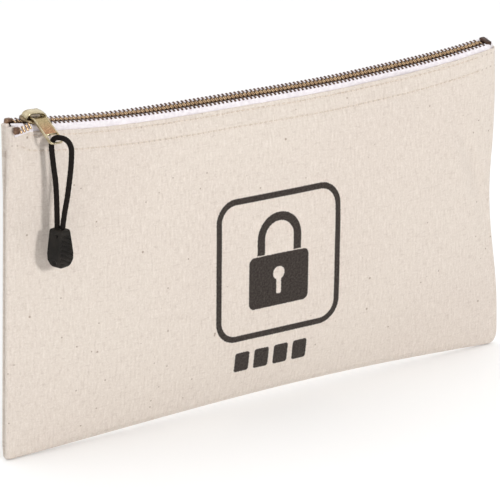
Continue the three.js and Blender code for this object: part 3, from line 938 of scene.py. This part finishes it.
def canvas_point(side, column, row):
    """A point of the panel's outer face, and its place on the flat cloth."""
    s, turn, edge_side = column
    kind, v = row
    t = {"bottom": 0, "main": v, "fold": 1, "return": 1}[kind]
    fold_radius = 2 * EDGE_ROLL
    low = bottom_height(s)
    centre_x = lerp(-TOP_HALF, TOP_HALF, s)
    high = zip_height(centre_x) - hem_drop(centre_x) - HEM_FOLD
    if kind == "bottom":
        z = low + fold_radius * (1 - math.cos(v))
        cover = math.sin(v)
    else:
        z = lerp(low + fold_radius, high, t)
        cover = 1
    share = (z - low) / (high - low)
    left = -half_width(share)
    right = half_width(share) - RIGHT_PULL_IN * dent(share) - RIGHT_TOP_IN * smooth((share - 0.66) / 0.34)
    rise = z - low
    if rise < CORNER_LEFT:
        left += CORNER_LEFT - math.sqrt(CORNER_LEFT ** 2 - (CORNER_LEFT - rise) ** 2)
    if rise < CORNER_RIGHT:
        right -= CORNER_RIGHT - math.sqrt(CORNER_RIGHT ** 2 - (CORNER_RIGHT - rise) ** 2)
    radius = roll_radius(share)
    seam = smooth(rise / 9)
    depth_share = 1
    if turn is None:
        x = lerp(left + radius, right - radius, s)
    else:
        lobe = (radius * (1 - math.cos(turn)), 0.5 * (1 + math.sin(turn)))
        quarter = (turn + math.radians(80)) / math.radians(170) * math.pi / 2
        plain = (2 * radius * (1 - math.cos(quarter)), math.sin(quarter))
        inset = lerp(plain[0], lobe[0], seam)
        depth_share = lerp(plain[1], lobe[1], seam)
        x = left + inset if edge_side < 0 else right - inset
    depth = body_depth(side, s, share if kind != "bottom" else 0, x, z)
    drop = zip_height(centre_x) - hem_drop(centre_x) - z
    depth -= groove(drop) * smooth(min(s, 1 - s) / 0.02)
    fold = HEM_FOLD * min(1, depth_share + 0.25)
    if kind == "fold":
        depth_here = depth * depth_share - fold * (1 - math.cos(v))
        z += HEM_FOLD * math.sin(v)
    elif kind == "return":
        depth_here = depth * depth_share - 2 * fold - 0.02 * v
        z -= v
    else:
        depth_here = depth * depth_share * cover
    depth_here = max(depth_here, 0.03)
    cloth_x = x if turn is None else x + edge_side * 0.5 * radius * (1.6 - turn)
    cloth_z = z if kind != "return" else z + 2 * v
    return Vector((x, SEAM_Y + side * depth_here, z)), (cloth_x * MM, 0, cloth_z * MM), (drop, 0, 0)


def canvas_at(side, x, below):
    """The point of a panel's outer face that is below millimetres under the zip's centreline."""
    s = (x + TOP_HALF) / (2 * TOP_HALF)
    low = bottom_height(s) + 2 * EDGE_ROLL
    high = zip_height(x) - hem_drop(x) - HEM_FOLD
    return canvas_point(side, (s, None, 0), ("main", (zip_height(x) - below - low) / (high - low)))[0]


def rows():
    bottom = [("bottom", math.pi / 2 * k / ROLL_ROWS) for k in range(ROLL_ROWS)]
    main = [("main", 0.86 * k / LOWER_ROWS) for k in range(LOWER_ROWS)]
    main += [("main", lerp(0.86, 1, k / UPPER_ROWS)) for k in range(UPPER_ROWS + 1)]
    fold = [("fold", math.pi * k / FOLD_ROWS) for k in range(1, FOLD_ROWS + 1)]
    back = [("return", HEM_RETURN * k / RETURN_ROWS) for k in range(1, RETURN_ROWS + 1)]
    return bottom + main + fold + back


def canvas_panel(name, side, chosen, material):
    all_rows = rows()
    points, cloth, hem = zip(*[canvas_point(side, column, row) for row in all_rows for column in chosen])
    piece = mesh_piece(name, points, grid_faces(len(chosen), len(all_rows), flip=side > 0), material,
                       ("cloth", cloth), ("hem", hem))
    return thicken(piece, CANVAS)


def cut_in_two(whole):
    """A piece's sides, left and right of x = 0. They keep its normals, so no line shows between them."""
    shape = bmesh.new()
    shape.from_mesh(whole.data)
    bmesh.ops.bisect_plane(shape, geom=shape.verts[:] + shape.edges[:] + shape.faces[:], dist=1e-7,
                           plane_co=(0, 0, 0), plane_no=(1, 0, 0))
    shape.to_mesh(whole.data)
    shape.free()
    normals = {tuple(v.co): v.normal.copy() for v in whole.data.vertices if abs(v.co.x) < 1e-6}
    sides = {}
    for half_name, sign in (("left", -1), ("right", 1)):
        side = whole.copy()
        side.data = whole.data.copy()
        side.name = f"{whole.name}_{half_name}"
        bpy.context.scene.collection.objects.link(side)
        shape = bmesh.new()
        shape.from_mesh(side.data)
        beyond = [face for face in shape.faces if face.calc_center_median().x * sign < 0]
        bmesh.ops.delete(shape, geom=beyond, context="FACES")
        shape.to_mesh(side.data)
        shape.free()
        side.data.normals_split_custom_set_from_vertices(
            [normals.get(tuple(v.co), v.normal) for v in side.data.vertices])
        sides[half_name] = side
    bpy.data.objects.remove(whole)
    return sides


def bend_back(piece):
    """Bakes the piece's placement into its mesh; it bends nothing."""
    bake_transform(piece)


front_canvas = canvas_panel("front_canvas", -1, columns(), printed_canvas)
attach(front_canvas, "front_half")
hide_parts("front_panel")
back_canvas = canvas_panel("back_canvas", 1, columns(), plain_canvas)
for half_name, half_canvas in cut_in_two(back_canvas).items():
    bend_back(half_canvas)
    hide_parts("back_panel")

# --- Zip tape and teeth ---


def under_hem(side, x, out, down):
    """The tape stands no further out than the canvas less its folded hem."""
    if down < hem_drop(x) + HEM_FOLD:
        return out
    hem_face = side * (canvas_at(side, x, down).y - SEAM_Y) - 2 * HEM_FOLD - 0.35
    return max(min(out, hem_face), 0.6 * out)


def tape_strip(name, side, xs):
    points, cloth = [], []
    for x in xs:
        run = 0
        previous = None
        for out, down in tape_profile(side, x):
            if previous:
                run += math.hypot(out - previous[0], down - previous[1])
            previous = (out, down)
            points.append(Vector((x, SEAM_Y + side * under_hem(side, x, out, down), zip_height(x) - down)))
            cloth.append((x * MM, 0, run * MM))
    piece = mesh_piece(name, points, grid_faces(len(points) // len(xs), len(xs), flip=side < 0), tape_cloth,
                       ("cloth", cloth))
    thicken(piece, TAPE)
    return piece


def tooth_shape():
    """One tooth beside the centreline, reaching to -Y: two legs that clamp the tape, and a head."""
    pieces = []
    for up in (-1, 1):
        z0, z1 = sorted((up * 0.3, up * 1.05))
        pieces.append(block_shape(-0.55, 0.55, -3.9, -1.5, z0, z1))
    pieces.append(block_shape(-0.42, 0.42, -1.8, 0.95, -0.9, 1.1))
    return joined(pieces)


def chamfered(shape, cut):
    """The shape with every edge rounded, as points and faces again."""
    points, faces = shape
    scratch = mesh_piece("scratch", points, faces, tooth_brass)
    round_edges(scratch, cut, 2)
    result = ([v.co / MM for v in scratch.data.vertices], [tuple(p.vertices) for p in scratch.data.polygons])
    bpy.data.objects.remove(scratch)
    return result


tooth = chamfered(tooth_shape(), 0.22)
TOOTH_PITCH = 2.53


def tooth_places(side):
    """The back row starts beside its stop; the front row starts inside the slider."""
    first = ROW_START - 2.4 if side > 0 else ROW_START + 1.5
    return [first + k * TOOTH_PITCH for k in range(int((ROW_END - 2.5 - first) / TOOTH_PITCH) + 1)]


def at_chain(x, side):
    """Stands a shape made for the front row in its place on the chain, on either side."""
    roll = Matrix.Rotation(chain_roll(x), 4, "X")
    tilt = Matrix.Rotation(-math.asin(x / ARC_RADIUS), 4, "Y")
    turned = Matrix.Rotation(math.pi if side > 0 else 0, 4, "Z")
    return Matrix.Translation((x, SEAM_Y, zip_height(x))) @ tilt @ roll @ turned


def tooth_row(name, side, xs):
    points, faces = joined([placed(tooth, at_chain(x, side)) for x in xs])
    # reach decides where the teeth's painted highlight gives way to painted shade.
    reach = [(-point.y, 0, 0) for point in tooth[0]] * len(xs)
    piece = mesh_piece(name, points, faces, tooth_brass, ("reach", reach))
    return piece


tape_xs = [lerp(TAPE_START, TAPE_END, k / 156) for k in range(157)]
front_tape = tape_strip("front_tape", -1, tape_xs)
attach(front_tape, "front_half")
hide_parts("front_zip_tape")
front_row = tooth_row("front_tooth_row", -1, tooth_places(-1))
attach(front_row, "front_half")
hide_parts("front_teeth")
middle = min(range(len(tape_xs)), key=lambda k: abs(tape_xs[k]))
for half_name, xs in (("left", tape_xs[:middle + 1]), ("right", tape_xs[middle:])):
    strip = tape_strip(f"back_tape_{half_name}", 1, xs)
    bend_back(strip)
    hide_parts("back_zip_tape")
for half_name, sign in (("left", -1), ("right", 1)):
    xs = [x for x in tooth_places(1) if x * sign > 0]
    row = tooth_row(f"back_tooth_row_{half_name}", 1, xs)
    bend_back(row)
    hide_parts("back_teeth")

# --- Stops ---


def stop_block(name, node, place, size, material, roll):
    half = [v / 2 for v in size]
    shape = block_shape(-half[0], half[0], -half[1], half[1], -half[2], half[2])
    matrix = Matrix.Translation(place) @ Matrix.Rotation(roll, 4, "X")
    points, faces = placed(shape, matrix)
    piece = mesh_piece(name, points, faces, material)
    round_edges(piece, min(size) * 0.28, 4)
    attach(piece, "front_half")
    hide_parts(node)


stop_block("top_stop_back", "back_top_stop", Vector(beside_chain(-153.2, 1.6, 0.3)), (3.6, 3.0, 3.0),
           stop_brass,
           SLIDER_ROLL)
stop_block("end_stop", "bottom_stop", Vector(beside_chain(148.1, 0, 0.1)), (3.8, 7.2, 3.1),
           stop_metal,
           chain_roll(148.1))

# Past the slider the front tape's end turns down over the canvas, with its last teeth and its stop.
FLAP_START = -155.8
FLAP_END = -145.5


def make_front_flap():
    across, along = 15, 13
    points, cloth = [], []
    for j in range(along):
        x = lerp(FLAP_START, FLAP_END, j / (along - 1))
        lower = lerp(6.4, 3.6, j / (along - 1))
        for i in range(across):
            below = lerp(0.2, lower, i / (across - 1))
            points.append(canvas_at(-1, x, below) + Vector((0, -0.55, 0)))
            cloth.append((x * MM, 0, below * MM))
    piece = mesh_piece("front_tape_end", points, grid_faces(across, along), tape_cloth, ("cloth", cloth))
    thicken(piece, TAPE)
    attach(piece, "front_half")
    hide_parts("front_zip_tape")
    places = [(-148.0, -0.2), (-149.9, 0.5), (-151.9, 1.2), (-153.8, 1.8)]
    shapes = []
    for x, below in places:
        point = canvas_at(-1, x, below) + Vector((0, -1.5, 0))
        shapes.append(placed(tooth, Matrix.Translation(point) @ Matrix.Rotation(math.radians(-20), 4, "Y")
                             @ Matrix.Rotation(math.radians(70), 4, "X") @ Matrix.Scale(0.7, 4)))
    points, faces = joined(shapes)
    # A reach of 0.5 gives these teeth the heads' painted-highlight gold all over.
    reach = [(0.5, 0, 0)] * len(points)
    piece = mesh_piece("front_end_teeth", points, faces, tooth_brass, ("reach", reach))
    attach(piece, "front_half")
    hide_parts("front_teeth")
    stop_place = canvas_at(-1, -155.6, 2.7) + Vector((0, -1.7, 0))
    stop_block("top_stop_front", "front_top_stop", stop_place, (3.2, 2.4, 3.6),
               stop_brass, 0.2)


make_front_flap()

# --- Stitching ---


def stitch_line(name, side, line, xs):
    """Separate stitches, each sinking into the canvas at both ends."""
    shapes = []
    for x in xs:
        ends = []
        for share in (-0.42, -0.25, 0, 0.25, 0.42):
            place = x + share * STITCH_PITCH
            point = canvas_at(side, place, hem_drop(place) + line)
            proud = 0.18 - 2.6 * share * share
            ends.append(point + Vector((0, side * proud, 0.08 * share)))
        shapes.append(tube(ends, 0.27, 8))
    points, faces = joined(shapes)
    piece = mesh_piece(name, points, faces, sewing_thread)
    return piece


stitch_xs = [STITCH_START + k * STITCH_PITCH for k in range(int(-2 * STITCH_START / STITCH_PITCH))]
for line, level in zip(STITCH_DROPS, ("upper", "lower")):
    front_line = stitch_line(f"front_stitches_{level}", -1, line, stitch_xs)
    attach(front_line, "front_half")
    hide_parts(f"front_{level}_stitching")
    for half_name, sign in (("left", -1), ("right", 1)):
        xs = [x for x in stitch_xs if x * sign > 0]
        back_line = stitch_line(f"back_stitches_{level}_{half_name}", 1, line, xs)
        bend_back(back_line)
        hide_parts(f"back_{level}_stitching")

for node in ("left_seam_thread", "right_seam_thread", "bottom_seam_thread"):
    frame["nodes"][node].data.materials.clear()
    frame["nodes"][node].data.materials.append(sewing_thread)

# --- Floor and light ---

floor_material = Nodes("floor")
floor_shade = floor_material.noise(floor_material.object_place(), 3, 2)
floor_white = floor_material.mix(floor_shade, colour(0.97, 0.97, 0.97), colour(0.98, 0.98, 0.98))
floor_material.set(Base_Color=floor_white, Roughness=0.9, Specular_IOR_Level=0.1)
floor_size = 6000
floor = mesh_piece("floor", [(-floor_size, -floor_size, -0.2), (floor_size, -floor_size, -0.2),
                             (floor_size, floor_size, -0.2), (-floor_size, floor_size, -0.2)],
                   [(0, 1, 2, 3)], floor_material.material)

world = bpy.data.worlds.new("studio")
bpy.context.scene.world = world
world.use_nodes = True
sky = world.node_tree
background = sky.nodes["Background"]
background.inputs["Color"].default_value = colour(1, 1, 1)
towards = sky.nodes.new("ShaderNodeVectorMath")
towards.operation = "DOT_PRODUCT"
towards.inputs[1].default_value = (0, 0.5, 0.86)
sky.links.new(sky.nodes.new("ShaderNodeTexCoord").outputs["Generated"], towards.inputs[0])
brightness = sky.nodes.new("ShaderNodeMapRange")
for socket, number in zip(brightness.inputs[1:5], (-0.1, 0.7, 0.08, 1.2)):
    socket.default_value = number
sky.links.new(towards.outputs["Value"], brightness.inputs["Value"])
sky.links.new(brightness.outputs["Result"], background.inputs["Strength"])


def soft_light(name, place, size, power):
    data = bpy.data.lights.new(name, "AREA")
    data.size = size
    data.energy = power
    light = bpy.data.objects.new(name, data)
    light.location = place
    light.rotation_euler = (Vector(place) - Vector((0, 0, 0.09))).to_track_quat("Z", "Y").to_euler()
    bpy.context.scene.collection.objects.link(light)


soft_light("key", (-0.1, -3.13, 1.2), 0.4, 62)
soft_light("fill", (-1.6, -1.6, 0.9), 1.2, 2)
bpy.context.scene.view_settings.view_transform = "Standard"
